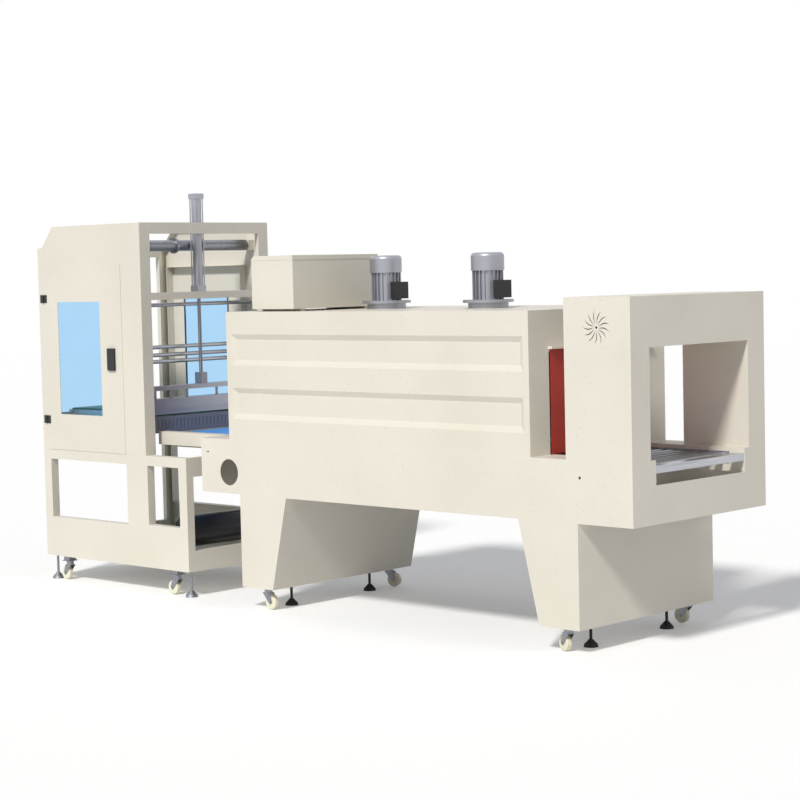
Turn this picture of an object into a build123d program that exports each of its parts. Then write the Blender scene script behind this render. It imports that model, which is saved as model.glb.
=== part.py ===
"""Automatic sleeve sealer with its heat-shrink tunnel, joined by the outfeed conveyor.

Millimetres. Product runs along +X, the operator's side is -Y, the floor is Z = 0.
The origin is the middle of the line's footprint, on the floor.
"""
from build123d import *
from math import cos, pi, radians, sin
import os

os.makedirs("parts", exist_ok=True)

# Overall layout along X
line_end = 2084.0
tunnel_length = 2768.0
chamber_length = 1990.0
chamber_setback = 559.0
hood_length = 359.0
sealer_start = -2084.0
sealer_length = 901.0
box_length = 326.0

# Shrink tunnel
tunnel_width = 1008.0
passage_width = 672.0
bed_bottom = 582.0
bed_top = 860.0
sheet = 3.0
end_notch_bottom = 751.0
chamber_height = 648.0
curtain_top = 1333.0
rail_depth = 24.0
rail_height = 12.0
liner_top = 1321.0
liner_half_width = 364.0
hood_height = 705.0
hood_beam_height = 219.0
hood_column = 132.0
recess_depth = 17.0
recess_slope = 27.0
recess_end_gap = 34.0
recess_height = 157.0
recess_heights = (966.0, 1238.0)
fan_hole = 135.0
fan_inset = 210.0
fan_height = 691.0
vent_diameter = 145.0
vent_inset = 181.0
vent_height = 1434.0
vent_slots = 13

# Roller track and outlet plate
roller = 38.0
roller_pitch = 66.0
roller_top = 838.0
track_bar = 6.0
track_bar_height = 60.0
outlet_plate_length = 52.0
outlet_lip = 33.0

# Pedestals
pedestal_bottom = 112.0
pedestal_sheet = 2.0
pedestal_lap = 43.0
pedestal_top_length = 338.0
pedestal_foot_length = 226.0
inlet_pedestal_inset = 291.0
outlet_pedestal_inset = 298.0

# Chamber furniture
motor_spacing = 676.0
motor_shift = -8.0
motor_flange = 245.0
motor_body = 150.0
motor_cowl = 161.0
motor_base_height = 27.0
motor_flange_thickness = 14.0
motor_body_height = 139.0
motor_cowl_height = 86.0
control_box_size = (300.0, 600.0, 265.0)
control_box_start = 158.0
control_box_foot = 12.0

# Sealing frame
sealer_width = 928.0
sealer_bottom = 137.0
sealer_top = 1985.0
frame_depth = 48.0
post_width = 70.0
post_depth = 30.0
shoulder_height = 1869.0
shoulder_length = 41.0
bevel_end = 139.0
door_bottom = 741.0
door_top = 1766.0
door_inset = 51.0
door_length = 680.0
door_lap = 18.0
hinge_heights = (908.0, 1584.0)
hinge_barrel = 10.0
hinge_pin = 5.0
window_inset = 123.0
window_length = 371.0
window_bottom = 941.0
window_top = 1566.0
low_opening_bottom = 358.0
low_opening_top = 686.0
low_opening_start = 64.0
low_opening_length = 670.0
box_top = 740.0
box_post = 48.0
box_opening_start = 8.0
box_opening_length = 257.0
top_beam_height = 60.0
top_beam_depth = 26.0
mid_beam_bottom = 1570.0
mid_beam_height = 38.0
mid_beam_depth = 138.0
low_beam_height = 110.0

# Air cylinder and sealing jaws
cylinder_inset = 68.0
cylinder_square = 60.0
cylinder_top = 2145.0
cylinder_head = 29.0
barrel_diameter = 54.0
rod_diameter = 20.0
clevis_bottom = 1102.0
clevis_height = 61.0
seal_travel = 380.0
bore_end_wall = 10.0
rod_end_clearance = 8.0
jaw_half_length = 372.0
jaw_gap = 10.0
lower_jaw_top = 938.0

# Conveyors
belt_top = 848.0
belt_thickness = 4.0
outfeed_belt_width = 560.0
infeed_belt_top = 962.0
infeed_belt_width = 250.0
infeed_belt_gap = 60.0

# Film rolls and guide rods
film_tube = 60.0
film_journal = 25.0
bearing_size = 56.0
bearing_reach = 30.0
lower_film_inset = 150.0
upper_film_setback = 134.0
upper_film_height = 1863.0
lower_film_height = 330.0
lower_film_roll = 170.0
guide_rod = 22.0
guide_rod_setback = 157.0
guide_rod_heights = (1230.0, 1266.0, 1309.0, 1540.0)

# Casters and levelling feet
wheel = 75.0
wheel_width = 26.0
wheel_clearance = 2.0
fork_trail = 26.0
fork_plate = 3.0
fork_gap = 1.5
caster_plate = 62.0
caster_plate_thickness = 4.0
caster_inlet_inset = 127.0
caster_outlet_inset = 112.0
caster_edge = 59.0
tunnel_foot_edge = 218.0
sealer_caster_inset = 148.0
sealer_caster_edge = 44.0
sealer_foot_inset = 36.0
tunnel_headings = (0.0, 20.0, 160.0, 180.0)
sealer_headings = (180.0, 180.0, 180.0, 180.0)
foot_diameter = 68.0
foot_stud = 14.0

# Running gap between pieces on different bodies
running_gap = 0.4

# Places worked out from the sizes
half_width = tunnel_width / 2
half_passage = passage_width / 2
bed_start = line_end - tunnel_length
chamber_end = line_end - chamber_setback
chamber_start = chamber_end - chamber_length
chamber_top = bed_top + chamber_height
hood_start = line_end - hood_length
hood_top = bed_top + hood_height
sealer_end = sealer_start + sealer_length
box_end = sealer_end + box_length
half_sealer = sealer_width / 2
inner_half = half_sealer - frame_depth
skin_half = half_sealer - sheet
cylinder_x = sealer_end - cylinder_inset
bore_end = cylinder_top - cylinder_head - bore_end_wall
hinge_x = sealer_start + door_inset - 6
hinge_y = -half_sealer - 7


def block(x0, x1, y0, y1, z0, z1):
    """A square-edged block between two corners."""
    size = Box(x1 - x0, y1 - y0, z1 - z0)
    return Pos((x0 + x1) / 2, (y0 + y1) / 2, (z0 + z1) / 2) * size


def rod_x(x0, x1, y, z, diameter):
    """A round bar along X."""
    return Pos((x0 + x1) / 2, y, z) * Rot(0, 90, 0) * Cylinder(diameter / 2, x1 - x0)


def rod_y(x, y0, y1, z, diameter):
    """A round bar along Y."""
    return Pos(x, (y0 + y1) / 2, z) * Rot(90, 0, 0) * Cylinder(diameter / 2, y1 - y0)


def rod_z(x, y, z0, z1, diameter):
    """A round bar along Z."""
    return Pos(x, y, (z0 + z1) / 2) * Cylinder(diameter / 2, z1 - z0)


def side_profile(points, y0, y1):
    """A plate with an outline in the X-Z plane, between two Y faces."""
    face = make_face(Polyline(*points, close=True))
    return Pos(0, y1, 0) * Rot(90, 0, 0) * extrude(face, y1 - y0)


def end_profile(points, x0, x1):
    """A plate with an outline in the Y-Z plane, between two X faces."""
    face = Plane.YZ * make_face(Polyline(*points, close=True))
    return Pos(x0, 0, 0) * extrude(face, x1 - x0)


def mirrored(shape):
    """The same piece on the far side of the line."""
    return mirror(shape, Plane.XZ)


def write(name, *pieces):
    """One node's STEP file."""
    solids = []
    for piece in pieces:
        solids.extend(piece.solids())
    export_step(Compound(children=solids), "parts/" + name + ".step")


def bed_side():
    """Front side box of the tunnel bed: outer web, deck, inner web and foot flange."""
    x0 = bed_start + sheet
    x1 = line_end - sheet
    web = block(x0, x1, -half_width, -half_width + sheet, bed_bottom, bed_top)
    deck = block(x0, x1, -half_width, -half_passage, bed_top - sheet, bed_top)
    inner = block(x0, x1, -half_passage - sheet, -half_passage, end_notch_bottom, bed_top)
    flange = block(x0, x1, -half_width, -half_width + 60, bed_bottom, bed_bottom + sheet)
    return web + deck + inner + flange


def bed_side_panels():
    """Side boxes with the cooling hole, slots and keyhole on the operator's side."""
    front = bed_side()
    y = -half_width + sheet / 2
    front -= rod_y(bed_start + fan_inset, y - 9, y + 9, fan_height, fan_hole)
    front -= block(bed_start + 43, bed_start + 60, y - 9, y + 9, 787, 793)
    front -= rod_y(line_end - 285, y - 9, y + 9, 783, 14)
    write("bed_side_panels", front, mirrored(bed_side()))


def bed_end_plates():
    """End plates; the outlet one has a cheek on each side of the passage."""
    x1 = line_end
    x0 = x1 - sheet
    low = block(x0, x1, -half_width, half_width, bed_bottom, end_notch_bottom)
    cheek = block(x0, x1, -half_width, -half_passage, end_notch_bottom, bed_top)
    inlet_top = roller_top - roller - 4
    inlet = block(bed_start, bed_start + sheet, -half_width, half_width, bed_bottom, inlet_top)
    side = block(bed_start, bed_start + sheet, -half_width, -half_passage, inlet_top, bed_top)
    inlet = inlet + side + mirrored(side)
    write("bed_end_plates", low, cheek, mirrored(cheek), inlet)


def roller_track():
    """Chain-carried rollers between two bars on the inner webs."""
    z = roller_top - roller / 2
    x0 = bed_start + 30
    x1 = line_end - outlet_plate_length - 30
    y = half_passage - track_bar
    bar = block(x0, x1, -half_passage, -y, z - track_bar_height / 2, z + track_bar_height / 2 - 8)
    count = int((x1 - x0 - 50) // roller_pitch)
    first = (x0 + x1 - count * roller_pitch) / 2
    rollers = []
    for index in range(count + 1):
        rollers.append(rod_y(first + index * roller_pitch, -y, y, z, roller))
    write("roller_track", bar, mirrored(bar), *rollers)


def outlet_slide_plate():
    """Bent steel plate that the product slides off over."""
    x1 = line_end - sheet
    x0 = x1 - outlet_plate_length
    z1 = roller_top - 3
    plate = block(x0, x1, -half_passage, half_passage, z1 - sheet, z1)
    lip = block(x1 - sheet, x1, -half_passage, half_passage, z1 - outlet_lip, z1)
    write("outlet_slide_plate", plate + lip)


def recess(z, depth, grow):
    """Tapered block that presses one long panel recess into the chamber's side."""
    x_middle = (chamber_start + chamber_end) / 2
    length = chamber_length - 2 * recess_end_gap + 2 * grow
    height = recess_height + 2 * grow
    z_middle = z + recess_height / 2
    mouth = Pos(x_middle, -half_width, z_middle) * Rot(90, 0, 0) * Rectangle(length, height)
    floor = Rectangle(length - 2 * recess_slope, height - 2 * recess_slope)
    floor = Pos(x_middle, -half_width + depth, z_middle) * Rot(90, 0, 0) * floor
    return loft([mouth, floor])


def chamber_side():
    """Front side sheet of the chamber with its two pressed recesses."""
    skin = block(chamber_start, chamber_end, -half_width, -half_width + sheet, bed_top, chamber_top)
    for z in recess_heights:
        skin += recess(z, recess_depth + sheet, sheet)
    for z in recess_heights:
        skin -= recess(z, recess_depth, 0)
    return skin


def chamber_shell():
    """Outer skin of the heating chamber: both sides and the cover sheet."""
    front = chamber_side()
    cover = block(
        chamber_start, chamber_end, -half_width + sheet, half_width - sheet, chamber_top - sheet, chamber_top
    )
    write("chamber_shell", front, mirrored(front), cover)


def chamber_end_walls():
    """Inlet and outlet walls round the passage."""
    half = half_width - sheet
    outer = [(-half, bed_top), (-half, chamber_top - sheet), (half, chamber_top - sheet), (half, bed_top)]
    inner = [
        (liner_half_width, bed_top),
        (liner_half_width, liner_top),
        (-liner_half_width, liner_top),
        (-liner_half_width, bed_top),
    ]
    inlet = end_profile(outer + inner, chamber_start, chamber_start + sheet)
    outlet = end_profile(outer + inner, chamber_end - sheet, chamber_end)
    half = liner_half_width + 6
    rails = []
    for x0 in (chamber_end, chamber_start - rail_depth):
        rails.append(block(x0, x0 + rail_depth, -half, half, curtain_top, curtain_top + rail_height))
    write("chamber_end_walls", inlet, outlet, *rails)


def tunnel_liner():
    """Inner skin of the passage, open below over the rollers."""
    x0 = chamber_start + sheet
    x1 = chamber_end - sheet
    outer = block(x0, x1, -liner_half_width, liner_half_width, bed_top, liner_top)
    inner = block(
        x0 - 1, x1 + 1, -liner_half_width + sheet, liner_half_width - sheet, bed_top - 1, liner_top - sheet
    )
    write("tunnel_liner", outer - inner)


def curtain(x):
    """Row of heat-proof strips hanging across the passage, outside the end wall."""
    strips = 7
    gap = 2.0
    half = liner_half_width - 8
    pitch = (2 * half + gap) / strips
    pieces = []
    for index in range(strips):
        y0 = -half + index * pitch
        pieces.append(block(x, x + 3, y0, y0 + pitch - gap, bed_top + 2, curtain_top))
    return pieces


def curtains():
    """Curtains at the chamber's inlet and outlet, each under its rail."""
    write("curtain_outlet", *curtain(chamber_end))
    write("curtain_inlet", *curtain(chamber_start - 3))


def hood_outline(inset):
    """The hood's portal outline in the Y-Z plane."""
    half = half_width - inset
    opening = half_width - hood_column
    beam = hood_top - hood_beam_height
    top = hood_top - inset
    outer = [(-half, bed_top), (-half, top), (half, top), (half, bed_top)]
    inner = [(opening, bed_top), (opening, beam), (-opening, beam), (-opening, bed_top)]
    return outer + inner


def swirl_vent(x, z):
    """Curved blades of air slots round a centre hole, cut through the front skin."""
    cuts = [rod_y(x, -half_width - 5, -half_width + sheet + 5, z, 12)]
    for index in range(vent_slots):
        turn = 360 * index / vent_slots
        arc = RadiusArc((12, 0), (vent_diameter / 2, 14), 62)
        back = RadiusArc((vent_diameter / 2, 14), (12, 0), -44)
        slot = extrude(make_face(arc + back), sheet + 10)
        cuts.append(Pos(x, -half_width + sheet + 5, z) * Rot(90, 0, 0) * Rot(0, 0, turn) * slot)
    return cuts


def hood():
    """Cooling hood over the outlet: outer skin, portal faces and passage lining."""
    x0 = hood_start + sheet
    x1 = line_end - sheet
    front = block(x0, x1, -half_width, -half_width + sheet, bed_top, hood_top - sheet)
    back = mirrored(front)
    cover = block(x0, x1, -half_width, half_width, hood_top - sheet, hood_top)
    for cut in swirl_vent(line_end - vent_inset, vent_height):
        front -= cut
    write("hood_skin", front, back, cover)
    end = end_profile(hood_outline(0), x1, line_end)
    inlet = end_profile(hood_outline(0), hood_start, x0)
    opening = half_width - hood_column
    beam = hood_top - hood_beam_height
    outer = block(x0, x1, -opening - sheet, opening + sheet, bed_top, beam + sheet)
    inner = block(x0 - 1, x1 + 1, -opening, opening, bed_top - 1, beam)
    write("hood_portal", end, inlet, outer - inner)


def control_box():
    """Electrical cabinet on the chamber's cover, with a lid and two foot bars."""
    length, width, height = control_box_size
    x0 = chamber_start + control_box_start
    y0 = -half_sealer
    z0 = chamber_top + control_box_foot
    z1 = z0 + height
    body = block(x0, x0 + length, y0, y0 + width, z0, z1 - 22)
    body -= block(x0 + sheet, x0 + length - sheet, y0 + sheet, y0 + width - sheet, z0 + sheet, z1)
    lid = block(x0 - 2, x0 + length + 2, y0 - 2, y0 + width + 2, z1 - 22, z1)
    edge = lid.edges().filter_by(Axis.Y).group_by(Axis.Z)[-1].sort_by(Axis.X)[0]
    lid = chamfer(edge, 20)
    feet = []
    for y in (y0 + 60, y0 + width - 90):
        feet.append(block(x0 + 10, x0 + length - 10, y, y + 30, chamber_top, z0))
    write("control_box", body, lid, *feet)


def fan_motors():
    """Two vertical fan motors: flange on a spacer, finned body and cowl."""
    bodies = []
    cowls = []
    boxes = []
    middle = (chamber_start + chamber_end) / 2 + motor_shift
    for side in (-1, 1):
        x = middle + side * motor_spacing / 2
        z0 = chamber_top + motor_base_height
        z1 = z0 + motor_flange_thickness
        z2 = z1 + motor_body_height
        base = rod_z(x, 0, chamber_top, z0, motor_flange - 50)
        flange = rod_z(x, 0, z0, z1, motor_flange)
        core = rod_z(x, 0, z1, z2, motor_body - 24)
        body = base + flange + core
        for index in range(20):
            turn = 360 * (index + 0.5) / 20
            fin = Pos(motor_body / 2 - 10, 0, (z1 + z2) / 2) * Box(20, 5, z2 - z1)
            body += Pos(x, 0, 0) * Rot(0, 0, turn) * fin
        bodies.append(body)
        cowl = rod_z(x, 0, z2, z2 + motor_cowl_height, motor_cowl)
        rim = cowl.edges().filter_by(GeomType.CIRCLE).group_by(Axis.Z)[-1]
        cowls.append(fillet(rim, 18))
        reach = motor_body / 2
        boxes.append(block(x + reach, x + reach + 32, -48, 48, z1 + 8, z1 + 92))
    write("fan_motors", *bodies, *cowls)
    write("motor_terminal_boxes", *boxes)


def pedestal(name, x_outer, lean):
    """Closed sheet pedestal whose inner side leans in; lean is +1 or -1 along X."""
    top_x = x_outer + lean * pedestal_top_length
    foot_x = x_outer + lean * pedestal_foot_length
    half = half_width
    side = [(x_outer, pedestal_bottom), (x_outer, bed_bottom), (top_x, bed_bottom), (foot_x, pedestal_bottom)]
    body = side_profile(side, -half, half)
    wall = lean * sheet
    floor = pedestal_bottom + sheet
    room = [(x_outer + wall, floor), (x_outer + wall, bed_bottom + 1)]
    room += [(top_x - wall, bed_bottom + 1), (foot_x - wall, floor)]
    body -= side_profile(room, -half + sheet, half - sheet)
    lap = [(x_outer, pedestal_bottom), (x_outer, bed_bottom + pedestal_lap)]
    lap += [(top_x, bed_bottom + pedestal_lap), (top_x, bed_bottom), (foot_x, pedestal_bottom)]
    cheek = side_profile(lap, -half - pedestal_sheet, -half)
    write(name, body + cheek + mirrored(cheek))


def caster(name, x, y, top, heading):
    """Swivel caster: fork and wheel; the wheel trails behind the swivel axis."""
    axle_z = wheel / 2 + wheel_clearance
    half = wheel_width / 2 + fork_gap
    crown = axle_z + wheel / 2 + 6
    cheek = [(-24, crown), (24, crown), (fork_trail + 12, axle_z), (fork_trail, axle_z - 12)]
    cheek += [(fork_trail - 12, axle_z)]
    left = side_profile(cheek, -half - fork_plate, -half)
    bridge = block(-24, 24, -half - fork_plate, half + fork_plate, crown, crown + fork_plate)
    hub = rod_z(0, 0, crown + fork_plate, top - caster_plate_thickness - running_gap, 40)
    axle = rod_y(fork_trail, -half - 7, half + 7, axle_z, 9)
    fork = left + mirrored(left) + bridge + hub + axle
    tyre = rod_y(fork_trail, -wheel_width / 2, wheel_width / 2, axle_z, wheel)
    rims = tyre.edges().filter_by(GeomType.CIRCLE)
    tyre = fillet(rims, 5)
    tyre -= rod_y(fork_trail, -wheel_width, wheel_width, axle_z, 9 + 2 * running_gap)
    place = Pos(x, y, 0) * Rot(0, 0, heading)
    write(name + "_fork", place * fork)
    write(name + "_wheel", place * tyre)


def mounting_plate(x, y, top):
    """Fixed plate above one caster."""
    half = caster_plate / 2
    return block(x - half, x + half, y - half, y + half, top - caster_plate_thickness, top)


def levelling_foot(x, y, top):
    """Stud and swivel pad that carries the machine."""
    pad = Pos(x, y, 0) * Cone(foot_diameter / 2, foot_diameter / 2 - 4, 14, align=(Align.CENTER, Align.CENTER, Align.MIN))
    neck = Pos(x, y, 14) * Cone(foot_diameter / 2 - 6, 10, 20, align=(Align.CENTER, Align.CENTER, Align.MIN))
    stud = rod_z(x, y, 34, top, foot_stud)
    return pad + neck + stud


def running_gear():
    """Casters, their plates and the levelling feet of both machines."""
    tunnel_x = (
        bed_start + inlet_pedestal_inset + caster_inlet_inset,
        line_end - outlet_pedestal_inset - caster_outlet_inset,
    )
    tunnel_y = half_width - caster_edge
    tunnel_foot_y = half_width - tunnel_foot_edge
    sealer_caster_x = (sealer_start + sealer_caster_inset, box_end - sealer_caster_inset)
    sealer_foot_x = (sealer_start + sealer_foot_inset, box_end - sealer_foot_inset)
    sealer_y = half_sealer - sealer_caster_edge
    caster_top = pedestal_bottom
    plates = []
    tunnel_feet = []
    sealer_feet = []
    index = 0
    for x in tunnel_x:
        for side in (-1, 1):
            name = "caster_tunnel_" + ("inlet", "outlet")[index // 2] + ("_front", "_back")[index % 2]
            caster(name, x, side * tunnel_y, caster_top, tunnel_headings[index])
            plates.append(mounting_plate(x, side * tunnel_y, caster_top))
            tunnel_feet.append(levelling_foot(x, side * tunnel_foot_y, pedestal_bottom))
            index += 1
    index = 0
    for x, foot_x in zip(sealer_caster_x, sealer_foot_x):
        for side in (-1, 1):
            name = "caster_sealer_" + ("inlet", "outlet")[index // 2] + ("_front", "_back")[index % 2]
            caster(name, x, side * sealer_y, caster_top, sealer_headings[index])
            plate = mounting_plate(x, side * sealer_y, caster_top)
            spacer = block(x - 24, x + 24, side * sealer_y - 24, side * sealer_y + 24, caster_top, sealer_bottom)
            plates.append(plate + spacer)
            sealer_feet.append(levelling_foot(foot_x, side * sealer_y, sealer_bottom))
            index += 1
    write("caster_plates", *plates)
    write("tunnel_levelling_feet", *tunnel_feet)
    write("sealer_levelling_feet", *sealer_feet)


def frame_outline():
    """The tall side frame's outline in the X-Z plane."""
    return [
        (sealer_start, sealer_bottom),
        (sealer_start, shoulder_height),
        (sealer_start + shoulder_length, shoulder_height),
        (sealer_start + bevel_end, sealer_top),
        (sealer_end, sealer_top),
        (sealer_end, sealer_bottom),
    ]


def sealer_side():
    """Front side frame: skin and returns, with the door and lower openings, and two posts."""
    y0 = -half_sealer
    y1 = y0 + frame_depth
    slab = side_profile(frame_outline(), y0, y1)
    inner = offset(make_face(Polyline(*frame_outline(), close=True)), -sheet, kind=Kind.INTERSECTION)
    hollow = Pos(0, y1, 0) * Rot(90, 0, 0) * extrude(inner, frame_depth - sheet)
    openings = (
        (
            sealer_start + door_inset + door_lap,
            sealer_start + door_inset + door_length - door_lap,
            door_bottom + door_lap,
            door_top - door_lap,
        ),
        (
            sealer_start + low_opening_start,
            sealer_start + low_opening_start + low_opening_length,
            low_opening_bottom,
            low_opening_top,
        ),
    )
    for x0, x1, z0, z1 in openings:
        hollow -= block(x0 - sheet, x1 + sheet, y0, y1, z0 - sheet, z1 + sheet)
    frame = slab - hollow
    for x0, x1, z0, z1 in openings:
        frame -= block(x0, x1, y0 - 1, y1 + 1, z0, z1)
    post_start = block(
        sealer_start, sealer_start + post_depth, y1, y0 + post_width, sealer_bottom, shoulder_height
    )
    post_end = block(sealer_end - post_depth, sealer_end, y1, y0 + post_width, box_top, sealer_top)
    x = sealer_end - upper_film_setback
    z = upper_film_height
    half = bearing_size / 2
    bearing = block(x - half, x + half, y0 + sheet, y1, z - half, z + half)
    bearing -= rod_y(x, y0, y1 + 1, z, film_journal + 2 * running_gap)
    return frame, post_start, post_end, bearing


def box_side():
    """Front side of the low outfeed box: a plate frame with one window."""
    y0 = -half_sealer
    y1 = y0 + box_post
    plate = block(sealer_end, box_end, y0, y1, sealer_bottom, box_top)
    x0 = sealer_end + box_opening_start
    plate -= block(
        x0, x0 + box_opening_length, y0 - 1, y1 + 1, low_opening_bottom + 10, low_opening_top
    )
    bore_x = box_end - lower_film_inset
    plate -= rod_y(bore_x, y0 + sheet, y1 + 1, lower_film_height, film_journal + 2 * running_gap)
    return plate


def sealer_frames():
    """Both side frames of the sealing machine and the beams between them."""
    for name, flip in (("sealer_frame_front", False), ("sealer_frame_back", True)):
        pieces = [*sealer_side(), box_side()]
        if flip:
            pieces = [mirrored(piece) for piece in pieces]
        write(name, *pieces)
    half = half_sealer - post_width
    low_half = half_sealer - box_post
    beams = [
        block(sealer_end - top_beam_depth, sealer_end, -half, half, sealer_top - top_beam_height, sealer_top),
        block(
            sealer_end - mid_beam_depth, sealer_end, -half, half, mid_beam_bottom, mid_beam_bottom + mid_beam_height
        ),
        block(box_end - 30, box_end, -low_half, low_half, box_top - 101, box_top),
        block(box_end - 30, box_end, -low_half, low_half, sealer_bottom, sealer_bottom + low_beam_height),
        block(sealer_start, sealer_start + 30, -half, half, sealer_bottom, sealer_bottom + low_beam_height),
        block(sealer_start, sealer_start + 30, -half, half, shoulder_height - 60, shoulder_height),
    ]
    bore = rod_z(cylinder_x, 0, mid_beam_bottom - 1, mid_beam_bottom + mid_beam_height + 1, rod_diameter + 4)
    beams[1] -= bore
    write("sealer_cross_beams", *beams)


def door(front):
    """Hinged guard door with its window, seen from the front side."""
    x0 = sealer_start + door_inset + running_gap
    x1 = x0 + door_length
    y1 = -half_sealer - running_gap
    y0 = y1 - sheet
    skin = block(x0, x1, y0, y1, door_bottom, door_top)
    w0 = x0 + window_inset
    w1 = w0 + window_length
    skin -= block(w0, w1, y0 - 1, y1 + 1, window_bottom, window_top)
    pane = block(w0 - 10, w1 + 10, y1, y1 + 4, window_bottom - 10, window_top + 10)
    grip_x = x1 - 118
    grip = block(grip_x, grip_x + 60, y0 - 12, y0, 1192, 1312)
    fittings = [grip]
    for z in hinge_heights:
        leaf = block(x0, x0 + 26, y0 - 3, y0, z - 22, z + 22)
        barrel = rod_z(hinge_x, hinge_y, z - 7, z + 7, hinge_barrel)
        tongue = block(hinge_x, x0 + 2, hinge_y - 1.5, hinge_y + 1.5, z - 7, z + 7)
        barrel = leaf + tongue + barrel - rod_z(hinge_x, hinge_y, z - 8, z + 8, hinge_pin + 2 * running_gap)
        fittings.append(barrel)
    pieces = (skin, pane, Compound(children=fittings))
    if not front:
        pieces = [mirrored(piece) for piece in pieces]
    side = "front" if front else "back"
    for name, piece in zip(("door_", "door_window_", "door_fittings_"), pieces):
        write(name + side, piece)


def door_hinges():
    """Hinge leaves and knuckles on the frame, two to a door."""
    pieces = []
    for z in hinge_heights:
        leaf = block(hinge_x - 28, hinge_x, -half_sealer - 4, -half_sealer, z - 22, z + 22)
        piece = leaf + block(hinge_x - 3, hinge_x, hinge_y, -half_sealer, z - 22, z + 22)
        piece -= rod_z(hinge_x, hinge_y, z - 7.5, z + 7.5, hinge_barrel + 2)
        for z0 in (z - 22, z + 7.5):
            piece += rod_z(hinge_x, hinge_y, z0, z0 + 14.5, hinge_barrel)
        piece += rod_z(hinge_x, hinge_y, z - 22, z + 22, hinge_pin)
        pieces.append(piece)
        pieces.append(mirrored(piece))
    write("door_hinges", *pieces)


def air_cylinder():
    """Pneumatic cylinder on the mid beam: heads, barrel and tie rods."""
    z0 = mid_beam_bottom + mid_beam_height
    half = cylinder_square / 2
    low = block(cylinder_x - half, cylinder_x + half, -half, half, z0, z0 + cylinder_head + 5)
    top = block(cylinder_x - half, cylinder_x + half, -half, half, cylinder_top - cylinder_head, cylinder_top)
    barrel = rod_z(cylinder_x, 0, z0 + cylinder_head + 5, cylinder_top - cylinder_head, barrel_diameter)
    body = low + top + barrel
    for dx in (-1, 1):
        for dy in (-1, 1):
            x = cylinder_x + dx * (half - 6)
            body += rod_z(x, dy * (half - 6), z0 + 4, cylinder_top - 4, 7)
    body -= rod_z(cylinder_x, 0, z0 - 1, bore_end, rod_diameter + 2 * running_gap)
    write("air_cylinder", body)


def seal_carriage():
    """What the cylinder lowers: rod, clevis, carrier strip, beam and upper jaw."""
    rod_top = bore_end - seal_travel - rod_end_clearance
    rod = rod_z(cylinder_x, 0, clevis_bottom + clevis_height, rod_top, rod_diameter)
    half = 24
    clevis = block(cylinder_x - half, cylinder_x + half, -half, half, clevis_bottom, clevis_bottom + clevis_height)
    write("cylinder_rod", rod, clevis)
    strip = block(cylinder_x - 30, cylinder_x + 30, -jaw_half_length, jaw_half_length, 1078, clevis_bottom)
    beam = block(cylinder_x - 35, cylinder_x + 35, -jaw_half_length, jaw_half_length, 978, 1034)
    studs = []
    for step in (-3, -2, -1, 1, 2, 3):
        studs.append(rod_z(cylinder_x, step * 110, 1034, 1078, 14))
    low = lower_jaw_top + jaw_gap
    jaw = block(cylinder_x - 22, cylinder_x + 22, -jaw_half_length, jaw_half_length, low, 978)
    write("upper_seal_bar", strip, beam, jaw, *studs)


def lower_seal_jaw():
    """Fixed lower jaw on its beam, with the slotted cooling guard on the outfeed side."""
    x0 = cylinder_x - 22
    x1 = cylinder_x + 22
    half = skin_half
    beam = block(x0, x1, -half, half, lower_jaw_top - 68, lower_jaw_top)
    guard = block(x1, x1 + sheet, -half, half, lower_jaw_top - 89, lower_jaw_top)
    pitch = 27.0
    count = int((2 * half - 80) // pitch)
    for index in range(count + 1):
        y = (index - count / 2) * pitch
        guard -= block(x1 - 1, x1 + sheet + 1, y - 6, y + 6, 874, 917)
    write("lower_seal_jaw", beam, guard)


def conveyors():
    """Infeed belts, the outfeed belt and their side rails."""
    x0 = sealer_start + 20
    x1 = cylinder_x - 60
    pieces = []
    for side in (-1, 1):
        y_middle = side * (infeed_belt_gap + infeed_belt_width) / 2
        y0 = y_middle - infeed_belt_width / 2
        z0 = infeed_belt_top - 60
        bed = block(x0, x1, y0, y0 + infeed_belt_width, z0, infeed_belt_top)
        bed = fillet(bed.edges().filter_by(Axis.Y), 29)
        pieces.append(bed)
    write("infeed_belts", *pieces)
    half = outfeed_belt_width / 2
    x2 = cylinder_x + 40
    x3 = bed_start - 4
    belt = block(x2, x3, -half, half, belt_top - 60, belt_top)
    belt = fillet(belt.edges().filter_by(Axis.Y), 29)
    write("outfeed_belt", belt)
    rails = []
    for side in (-1, 1):
        y_in = infeed_belt_gap / 2 + infeed_belt_width
        pieces = [
            block(x0, x1, min(side * y_in, side * (y_in + 12)), max(side * y_in, side * (y_in + 12)), 880, 952),
            block(x0 + 14, x0 + 44, min(side * (y_in + 12), side * skin_half), max(side * (y_in + 12), side * skin_half), 890, 940),
            block(x1 - 55, x1 - 15, min(side * (y_in + 12), side * skin_half), max(side * (y_in + 12), side * skin_half), 890, 940),
            block(x2 - 15, bed_start, min(side * half, side * half_passage), max(side * half, side * half_passage), 790, bed_top),
        ]
        rails.extend(pieces)
    write("conveyor_side_rails", *rails)


def film_gear():
    """Film shafts, film roll and the fixed guide rods."""
    half = inner_half
    x = sealer_end - upper_film_setback
    grip = half + bearing_reach
    tube = rod_y(x, -half + 6, half - 6, upper_film_height, film_tube)
    tube += rod_y(x, -grip, grip, upper_film_height, film_journal)
    for y in (-120, 60):
        tube += rod_y(x, y, y + 12, upper_film_height, film_tube + 28)
    write("upper_film_shaft", tube)
    low_x = box_end - lower_film_inset
    roll = rod_y(low_x, -half + 60, half - 60, lower_film_height, lower_film_roll)
    roll += rod_y(low_x, -grip, grip, lower_film_height, film_journal)
    write("lower_film_roll", roll)
    rods = []
    for z in guide_rod_heights:
        rods.append(rod_y(sealer_end - guide_rod_setback, -skin_half, skin_half, z, guide_rod))
    write("film_guide_rods", *rods)


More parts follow.
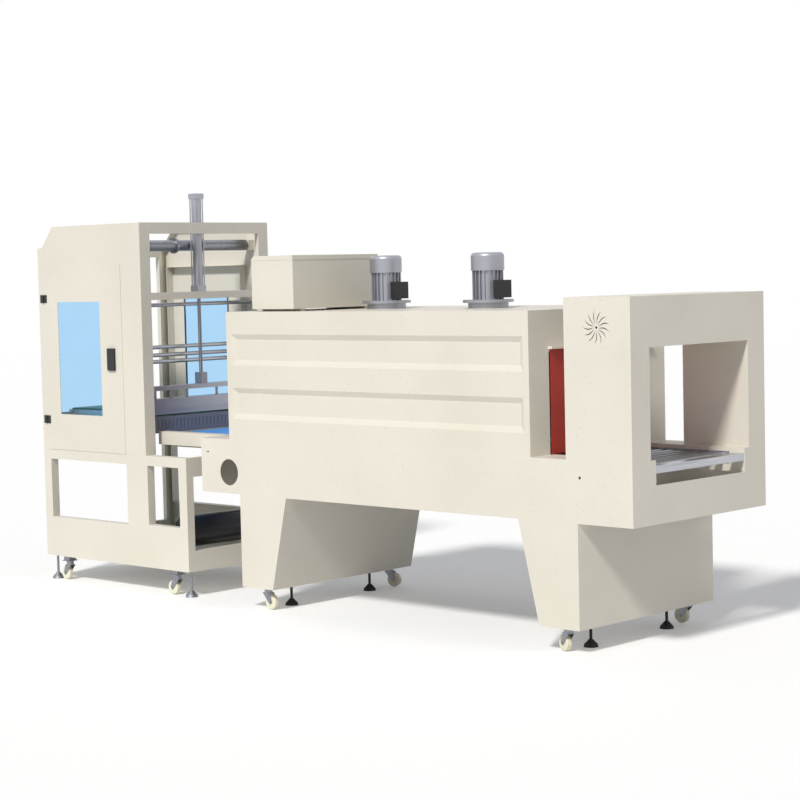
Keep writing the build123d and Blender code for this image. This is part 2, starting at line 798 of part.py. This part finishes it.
def base_tray():
    """Floor tray of the sealing machine."""
    x0 = sealer_start + 30
    x1 = sealer_end - sheet
    x2 = box_end - 30
    z0 = sealer_bottom + sheet
    tray = block(x0, x1, -skin_half, skin_half, z0, z0 + sheet)
    tray += block(x1, x2, -inner_half, inner_half, z0, z0 + sheet)
    write("base_tray", tray)


bed_side_panels()
bed_end_plates()
roller_track()
outlet_slide_plate()
chamber_shell()
chamber_end_walls()
tunnel_liner()
curtains()
hood()
control_box()
fan_motors()
pedestal("pedestal_inlet", bed_start + inlet_pedestal_inset, 1)
pedestal("pedestal_outlet", line_end - outlet_pedestal_inset, -1)
running_gear()
sealer_frames()
door(True)
door(False)
door_hinges()
air_cylinder()
seal_carriage()
lower_seal_jaw()
conveyors()
film_gear()
base_tray()
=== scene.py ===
# %% [markdown]
# # Sleeve sealer with its shrink tunnel
# A packaging line of two painted steel machines: a guarded sealing frame on the left
# and a heated tunnel on the right. The exact model from CAD is the frame of this scene.
# Every piece made here sits on it, in metres, with +X along the belts and Z up.

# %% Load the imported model
import math
import random

import bmesh
import bpy
from mathutils import Matrix, Vector

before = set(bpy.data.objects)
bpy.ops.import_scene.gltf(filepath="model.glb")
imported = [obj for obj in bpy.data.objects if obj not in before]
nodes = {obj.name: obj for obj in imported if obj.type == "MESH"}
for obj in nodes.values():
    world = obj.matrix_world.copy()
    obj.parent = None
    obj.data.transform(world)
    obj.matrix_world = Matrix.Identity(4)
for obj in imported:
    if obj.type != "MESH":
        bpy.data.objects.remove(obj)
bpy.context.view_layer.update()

# %% [markdown]
# ## Camera
# The photograph was taken with a long lens from the outlet corner on the operator's
# side, at about eye height. The camera's place and turn come from the straight edges
# of both machines, so it is given as a point, three angles and a focal length.

# %% Camera
image_side = 800
focal_pixels = 2022.16
sensor_width = 36.0
camera_place = Vector((7.23547, -7.34414, 1.69270))
yaw, pitch, roll = -0.7596, -0.0635, -0.0233

forward = Vector((math.sin(yaw) * math.cos(pitch), math.cos(yaw) * math.cos(pitch), math.sin(pitch)))
level = Vector((math.cos(yaw), -math.sin(yaw), 0.0))
upright = level.cross(forward)
right = math.cos(roll) * level + math.sin(roll) * upright
up = -math.sin(roll) * level + math.cos(roll) * upright

camera_data = bpy.data.cameras.new("camera")
camera_data.sensor_width = sensor_width
camera_data.lens = sensor_width * focal_pixels / image_side
camera = bpy.data.objects.new("camera", camera_data)
turn = Matrix((right, up, -forward)).transposed()
camera.matrix_world = Matrix.Translation(camera_place) @ turn.to_4x4()
bpy.context.scene.collection.objects.link(camera)
bpy.context.scene.camera = camera
print("lens:", round(camera_data.lens, 2), "mm")

# %% [markdown]
# ## Light and floor
# The machines stand in soft daylight that comes from the operator's side, so the faces
# towards the outlet are about half as bright. A large lamp gives that direction and an
# even sky fills the shade. Camera, mirror and glass rays see a white backdrop.

# %% Light and floor
scene = bpy.context.scene
scene.view_settings.view_transform = "Standard"


def srgb(red, green, blue):
    """A colour written as 0 to 255 on a screen, as the linear colour that Blender uses."""
    linear = []
    for channel in (red, green, blue):
        value = channel / 255
        linear.append(value / 12.92 if value <= 0.04045 else ((value + 0.055) / 1.055) ** 2.4)
    return (*linear, 1.0)


def seen_directly(tree):
    """1 for rays from the camera, from mirrors and through glass, and 0 for light."""
    path = tree.nodes.new("ShaderNodeLightPath")
    first = tree.nodes.new("ShaderNodeMath")
    first.operation = "MAXIMUM"
    tree.links.new(path.outputs["Is Camera Ray"], first.inputs[0])
    tree.links.new(path.outputs["Is Glossy Ray"], first.inputs[1])
    both = tree.nodes.new("ShaderNodeMath")
    both.operation = "MAXIMUM"
    tree.links.new(first.outputs[0], both.inputs[0])
    tree.links.new(path.outputs["Is Transmission Ray"], both.inputs[1])
    return both.outputs[0]


sky_strength = 0.34
world = bpy.data.worlds.new("studio")
scene.world = world
world.use_nodes = True
sky = world.node_tree
sky.nodes.clear()
sky_light = sky.nodes.new("ShaderNodeBackground")
sky_light.inputs["Color"].default_value = srgb(240, 243, 250)
sky_light.inputs["Strength"].default_value = sky_strength
sky_white = sky.nodes.new("ShaderNodeBackground")
sky_white.inputs["Color"].default_value = (1, 1, 1, 1)
sky_white.inputs["Strength"].default_value = 1.0
sky_mix = sky.nodes.new("ShaderNodeMixShader")
sky_out = sky.nodes.new("ShaderNodeOutputWorld")
sky.links.new(seen_directly(sky), sky_mix.inputs[0])
sky.links.new(sky_light.outputs[0], sky_mix.inputs[1])
sky.links.new(sky_white.outputs[0], sky_mix.inputs[2])
sky.links.new(sky_mix.outputs[0], sky_out.inputs[0])

sun_data = bpy.data.lights.new("daylight", "SUN")
sun_data.energy = 2.75
sun_data.angle = math.radians(8)
sun_data.color = (1.0, 0.985, 0.95)
sun = bpy.data.objects.new("daylight", sun_data)
sun_from = Vector((0.22, -0.70, 0.68))
sun.rotation_euler = sun_from.to_track_quat("Z", "Y").to_euler()
scene.collection.objects.link(sun)

floor_size = 60.0
floor_mesh = bpy.data.meshes.new("floor")
half_floor = floor_size / 2
floor_mesh.from_pydata(
    [(-half_floor, -half_floor, 0), (half_floor, -half_floor, 0), (half_floor, half_floor, 0), (-half_floor, half_floor, 0)],
    [],
    [(0, 1, 2, 3)],
)
floor = bpy.data.objects.new("floor", floor_mesh)
scene.collection.objects.link(floor)

floor_finish = bpy.data.materials.new("studio floor")
floor_finish.use_nodes = True
tree = floor_finish.node_tree
shaded = tree.nodes["Principled BSDF"]
shaded.inputs["Base Color"].default_value = srgb(244, 244, 244)
shaded.inputs["Roughness"].default_value = 0.9
glow = tree.nodes.new("ShaderNodeEmission")
glow.inputs["Strength"].default_value = 0.16
blend = tree.nodes.new("ShaderNodeAddShader")
tint = tree.nodes.new("ShaderNodeMixShader")
dark = tree.nodes.new("ShaderNodeEmission")
dark.inputs["Strength"].default_value = 0.0
tree.links.new(seen_directly(tree), tint.inputs[0])
tree.links.new(dark.outputs[0], tint.inputs[1])
tree.links.new(glow.outputs[0], tint.inputs[2])
tree.links.new(shaded.outputs[0], blend.inputs[0])
tree.links.new(tint.outputs[0], blend.inputs[1])
tree.links.new(blend.outputs[0], tree.nodes["Material Output"].inputs["Surface"])
floor_mesh.materials.append(floor_finish)

# %% [markdown]
# ## Finishes
# Powder coat, brushed steel, cast aluminium, belts and coated cloth share a few small
# effects: soft specks, a fine skin and brushed streaks. Each effect is a node group
# with named inputs, built once, and each material places it with its own values.

# %% Shared effects
def effect_group(name, inputs, outputs):
    """An empty shader group with float inputs and named outputs."""
    group = bpy.data.node_groups.new(name, "ShaderNodeTree")
    for socket, value in inputs:
        made = group.interface.new_socket(socket, in_out="INPUT", socket_type="NodeSocketFloat")
        made.default_value = value
    for socket, kind in outputs:
        group.interface.new_socket(socket, in_out="OUTPUT", socket_type=kind)
    start = group.nodes.new("NodeGroupInput")
    end = group.nodes.new("NodeGroupOutput")
    return group, start, end


def add_noise(tree, vector, scale, detail, roughness):
    """A noise texture on the given coordinates; scale may be a number or a socket."""
    noise = tree.nodes.new("ShaderNodeTexNoise")
    noise.inputs["Detail"].default_value = detail
    noise.inputs["Roughness"].default_value = roughness
    tree.links.new(vector, noise.inputs["Vector"])
    if isinstance(scale, (int, float)):
        noise.inputs["Scale"].default_value = scale
    else:
        tree.links.new(scale, noise.inputs["Scale"])
    return noise.outputs["Fac"]


def add_math(tree, operation, first, second):
    """A Math node; each operand is a number or a socket."""
    node = tree.nodes.new("ShaderNodeMath")
    node.operation = operation
    for index, operand in enumerate((first, second)):
        if isinstance(operand, (int, float)):
            node.inputs[index].default_value = operand
        else:
            tree.links.new(operand, node.inputs[index])
    return node.outputs[0]


def add_range(tree, value, low, high):
    """The part of a value between low and high, stretched to 0 to 1."""
    node = tree.nodes.new("ShaderNodeMapRange")
    node.interpolation_type = "SMOOTHSTEP"
    node.inputs["From Min"].default_value = low
    node.inputs["From Max"].default_value = high
    tree.links.new(value, node.inputs["Value"])
    return node.outputs[0]


skin, skin_in, skin_out = effect_group(
    "sprayed skin",
    [("Peel scale", 900.0), ("Cloud scale", 1.6), ("Speck scale", 140.0)],
    [("Cloud", "NodeSocketFloat"), ("Speck", "NodeSocketFloat"), ("Height", "NodeSocketFloat")],
)
place = skin.nodes.new("ShaderNodeTexCoord").outputs["Object"]
peel = add_noise(skin, place, skin_in.outputs["Peel scale"], 2.0, 0.5)
cloud = add_noise(skin, place, skin_in.outputs["Cloud scale"], 3.0, 0.55)
speck = add_noise(skin, place, skin_in.outputs["Speck scale"], 1.0, 0.5)
skin.links.new(cloud, skin_out.inputs["Cloud"])
skin.links.new(add_range(skin, speck, 0.70, 0.78), skin_out.inputs["Speck"])
skin.links.new(peel, skin_out.inputs["Height"])

brush, brush_in, brush_out = effect_group(
    "brushed streaks",
    [("Along X", 4.0), ("Along Y", 4.0), ("Along Z", 4.0)],
    [("Streak", "NodeSocketFloat"), ("Smudge", "NodeSocketFloat")],
)
place = brush.nodes.new("ShaderNodeTexCoord").outputs["Object"]
stretch = brush.nodes.new("ShaderNodeCombineXYZ")
for index, name in enumerate(("Along X", "Along Y", "Along Z")):
    brush.links.new(brush_in.outputs[name], stretch.inputs[index])
drawn = brush.nodes.new("ShaderNodeVectorMath")
drawn.operation = "MULTIPLY"
brush.links.new(place, drawn.inputs[0])
brush.links.new(stretch.outputs[0], drawn.inputs[1])
brush.links.new(add_noise(brush, drawn.outputs[0], 1.0, 4.0, 0.6), brush_out.inputs["Streak"])
brush.links.new(add_noise(brush, place, 9.0, 3.0, 0.6), brush_out.inputs["Smudge"])

# A painted highlight: a Bevel node finds the rounded sheet edges, and the materials that use it make their
# colour paler there.
edges, edges_in, edges_out = effect_group(
    "painted edge highlight",
    [("Radius", 0.0015)],
    [("Edge", "NodeSocketFloat")],
)
rounded = edges.nodes.new("ShaderNodeBevel")
rounded.samples = 4
edges.links.new(edges_in.outputs["Radius"], rounded.inputs["Radius"])
geometry = edges.nodes.new("ShaderNodeNewGeometry")
agree = edges.nodes.new("ShaderNodeVectorMath")
agree.operation = "DOT_PRODUCT"
edges.links.new(rounded.outputs[0], agree.inputs[0])
edges.links.new(geometry.outputs["Normal"], agree.inputs[1])
edges.links.new(add_range(edges, agree.outputs["Value"], 0.995, 0.93), edges_out.inputs["Edge"])
print("effects:", [group.name for group in bpy.data.node_groups])

# %% [markdown]
# A helper starts each material: a Principled shader with its plain values on the
# shader's own sockets. Patterns are then mixed into colour, roughness and bump only.

# %% Material helpers
def new_finish(name, colour, roughness, metallic=0.0):
    """A material with a plain Principled shader; returns the material, its tree and the shader."""
    finish = bpy.data.materials.new(name)
    finish.use_nodes = True
    shader = finish.node_tree.nodes["Principled BSDF"]
    shader.inputs["Base Color"].default_value = colour
    shader.inputs["Roughness"].default_value = roughness
    shader.inputs["Metallic"].default_value = metallic
    return finish, finish.node_tree, shader


def place_group(tree, group, **values):
    """The shared effect in this material, with its own values."""
    node = tree.nodes.new("ShaderNodeGroup")
    node.node_tree = group
    for name, value in values.items():
        node.inputs[name.replace("_", " ")].default_value = value
    return node


def mix_colours(tree, factor, first, second):
    """The first colour where the factor is 0 and the second where it is 1."""
    node = tree.nodes.new("ShaderNodeMix")
    node.data_type = "RGBA"
    tree.links.new(factor, node.inputs["Factor"])
    for socket, colour in ((node.inputs["A"], first), (node.inputs["B"], second)):
        if isinstance(colour, bpy.types.NodeSocket):
            tree.links.new(colour, socket)
        else:
            socket.default_value = colour
    return node.outputs["Result"]


def add_bump(tree, shader, height, strength, distance):
    """A Bump node that feeds the shader's normal."""
    bump = tree.nodes.new("ShaderNodeBump")
    bump.inputs["Strength"].default_value = strength
    bump.inputs["Distance"].default_value = distance
    tree.links.new(height, bump.inputs["Height"])
    tree.links.new(bump.outputs["Normal"], shader.inputs["Normal"])


def stretch_range(tree, value, low, high):
    """A 0 to 1 value spread from low to high."""
    node = tree.nodes.new("ShaderNodeMapRange")
    node.inputs["To Min"].default_value = low
    node.inputs["To Max"].default_value = high
    tree.links.new(value, node.inputs["Value"])
    return node.outputs[0]


def sprayed(name, light, dark, roughness, speck=None, peel=900.0, metallic=0.0):
    """A sprayed or moulded surface: cloudy colour, a few specks and a fine skin."""
    finish, tree, shader = new_finish(name, light, roughness, metallic)
    surface = place_group(tree, skin, Peel_scale=peel)
    colour = mix_colours(tree, add_range(tree, surface.outputs["Cloud"], 0.3, 0.7), light, dark)
    if speck is not None:
        colour = mix_colours(tree, surface.outputs["Speck"], colour, speck)
    tree.links.new(colour, shader.inputs["Base Color"])
    spread = stretch_range(tree, surface.outputs["Cloud"], roughness - 0.06, roughness + 0.08)
    tree.links.new(spread, shader.inputs["Roughness"])
    add_bump(tree, shader, surface.outputs["Height"], 0.12, 0.0004)
    return finish, tree, shader, colour


def brushed(name, light, dark, roughness, along, metallic=1.0):
    """Drawn or brushed metal whose streaks run along one axis; along is 0, 1 or 2."""
    finish, tree, shader = new_finish(name, light, roughness, metallic)
    stretched = [260.0, 260.0, 260.0]
    stretched[along] = 3.0
    pattern = place_group(tree, brush, Along_X=stretched[0], Along_Y=stretched[1], Along_Z=stretched[2])
    colour = mix_colours(tree, add_range(tree, pattern.outputs["Streak"], 0.3, 0.7), light, dark)
    tree.links.new(colour, shader.inputs["Base Color"])
    spread = stretch_range(tree, pattern.outputs["Smudge"], roughness - 0.08, roughness + 0.12)
    tree.links.new(spread, shader.inputs["Roughness"])
    add_bump(tree, shader, pattern.outputs["Streak"], 0.08, 0.0003)
    return finish


# %% [markdown]
# The machine's paint is a cream powder coat. It has a faint orange-peel skin, tiny
# dust specks and a painted highlight that makes the sheet edges paler.

# %% Paint
cream, tree, shader, colour = sprayed(
    "cream powder coat", srgb(222, 217, 205), srgb(216, 211, 198), 0.44, srgb(190, 184, 170)
)
# Painted highlight: along the sheet edges the paint is mixed towards a paler cream.
edge_highlight = place_group(tree, edges, Radius=0.0016)
colour = mix_colours(tree, stretch_range(tree, edge_highlight.outputs["Edge"], 0.0, 0.55), colour, srgb(236, 233, 224))
tree.links.new(colour, shader.inputs["Base Color"])
shader.inputs["Specular IOR Level"].default_value = 0.4

guard_paint = sprayed("grey guard paint", srgb(122, 125, 134), srgb(108, 111, 120), 0.42)[0]
silver_cast = sprayed("silver cast aluminium", srgb(176, 178, 186), srgb(160, 162, 170), 0.36, peel=420.0, metallic=0.75)[0]
black_moulding = sprayed("black moulded plastic", srgb(30, 30, 32), srgb(22, 22, 24), 0.5, peel=1400.0)[0]
black_rubber = sprayed("black rubber", srgb(34, 34, 36), srgb(26, 26, 28), 0.72, peel=1100.0)[0]
nylon = sprayed("cream nylon", srgb(232, 228, 206), srgb(222, 217, 192), 0.38, peel=600.0)[0]
orange_hose = sprayed("orange air hose", srgb(238, 88, 52), srgb(224, 70, 38), 0.3, peel=700.0)[0]
dark_film = sprayed("dark film roll", srgb(46, 46, 54), srgb(34, 34, 40), 0.3, peel=300.0)[0]

# %% [markdown]
# The metals are rods, plates and feet. Streaks follow the way that each was drawn.

# %% Metals
steel_across = brushed("brushed steel across", srgb(196, 198, 204), srgb(168, 170, 176), 0.3, along=1)
steel_lengthways = brushed("brushed steel lengthways", srgb(192, 194, 198), srgb(160, 162, 168), 0.32, along=0)
zinc = brushed("zinc plated steel", srgb(160, 163, 170), srgb(132, 135, 142), 0.38, along=2)

# %% [markdown]
# The belts are coated cloth: a fine weave shows as bump. The curtains are glass cloth
# with red silicone.

# %% Belts, curtain and windows
def woven(name, light, dark, roughness, threads):
    """Coated cloth with a plain weave in bump and a cloudy colour."""
    finish, tree, shader = new_finish(name, light, roughness)
    place = tree.nodes.new("ShaderNodeTexCoord").outputs["Object"]
    crossing = None
    for direction in ("X", "Y", "Z"):
        wave = tree.nodes.new("ShaderNodeTexWave")
        wave.bands_direction = direction
        wave.inputs["Scale"].default_value = threads
        wave.inputs["Distortion"].default_value = 0.6
        wave.inputs["Detail"].default_value = 1.0
        tree.links.new(place, wave.inputs["Vector"])
        crossing = wave.outputs["Fac"] if crossing is None else add_math(tree, "MULTIPLY", crossing, wave.outputs["Fac"])
    cloudy = add_noise(tree, place, 4.0, 3.0, 0.6)
    colour = mix_colours(tree, add_range(tree, cloudy, 0.3, 0.7), light, dark)
    tree.links.new(colour, shader.inputs["Base Color"])
    tree.links.new(stretch_range(tree, cloudy, roughness - 0.05, roughness + 0.1), shader.inputs["Roughness"])
    add_bump(tree, shader, crossing, 0.25, 0.0005)
    return finish


green_belting = woven("green belting", srgb(24, 132, 104), srgb(16, 112, 88), 0.42, 160.0)
blue_belting = woven("blue belting", srgb(92, 168, 246), srgb(78, 152, 236), 0.42, 160.0)
red_cloth = woven("red coated cloth", srgb(176, 46, 28), srgb(158, 38, 24), 0.5, 220.0)

blue_acrylic, tree, shader = new_finish("blue acrylic", srgb(176, 218, 248), 0.03)
shader.inputs["Transmission Weight"].default_value = 1.0
shader.inputs["IOR"].default_value = 1.2
place = tree.nodes.new("ShaderNodeTexCoord").outputs["Object"]
smear = add_noise(tree, place, 5.0, 3.0, 0.6)
tree.links.new(mix_colours(tree, smear, srgb(176, 218, 248), srgb(170, 213, 247)), shader.inputs["Base Color"])

finish_of_slot = {
    "cream_paint": cream,
    "stainless": steel_across,
    "zinc_steel": zinc,
    "motor_aluminium": silver_cast,
    "black_plastic": black_moulding,
    "black_rubber": black_rubber,
    "curtain_red": red_cloth,
    "blue_window": blue_acrylic,
    "green_belt": green_belting,
    "blue_belt": blue_belting,
    "wheel_nylon": nylon,
    "grey_guard": guard_paint,
    "hose_orange": orange_hose,
    "film_dark": dark_film,
}
for node in nodes.values():
    for material_slot in node.material_slots:
        material_slot.material = finish_of_slot[material_slot.material.name]
print("finishes:", len(finish_of_slot))
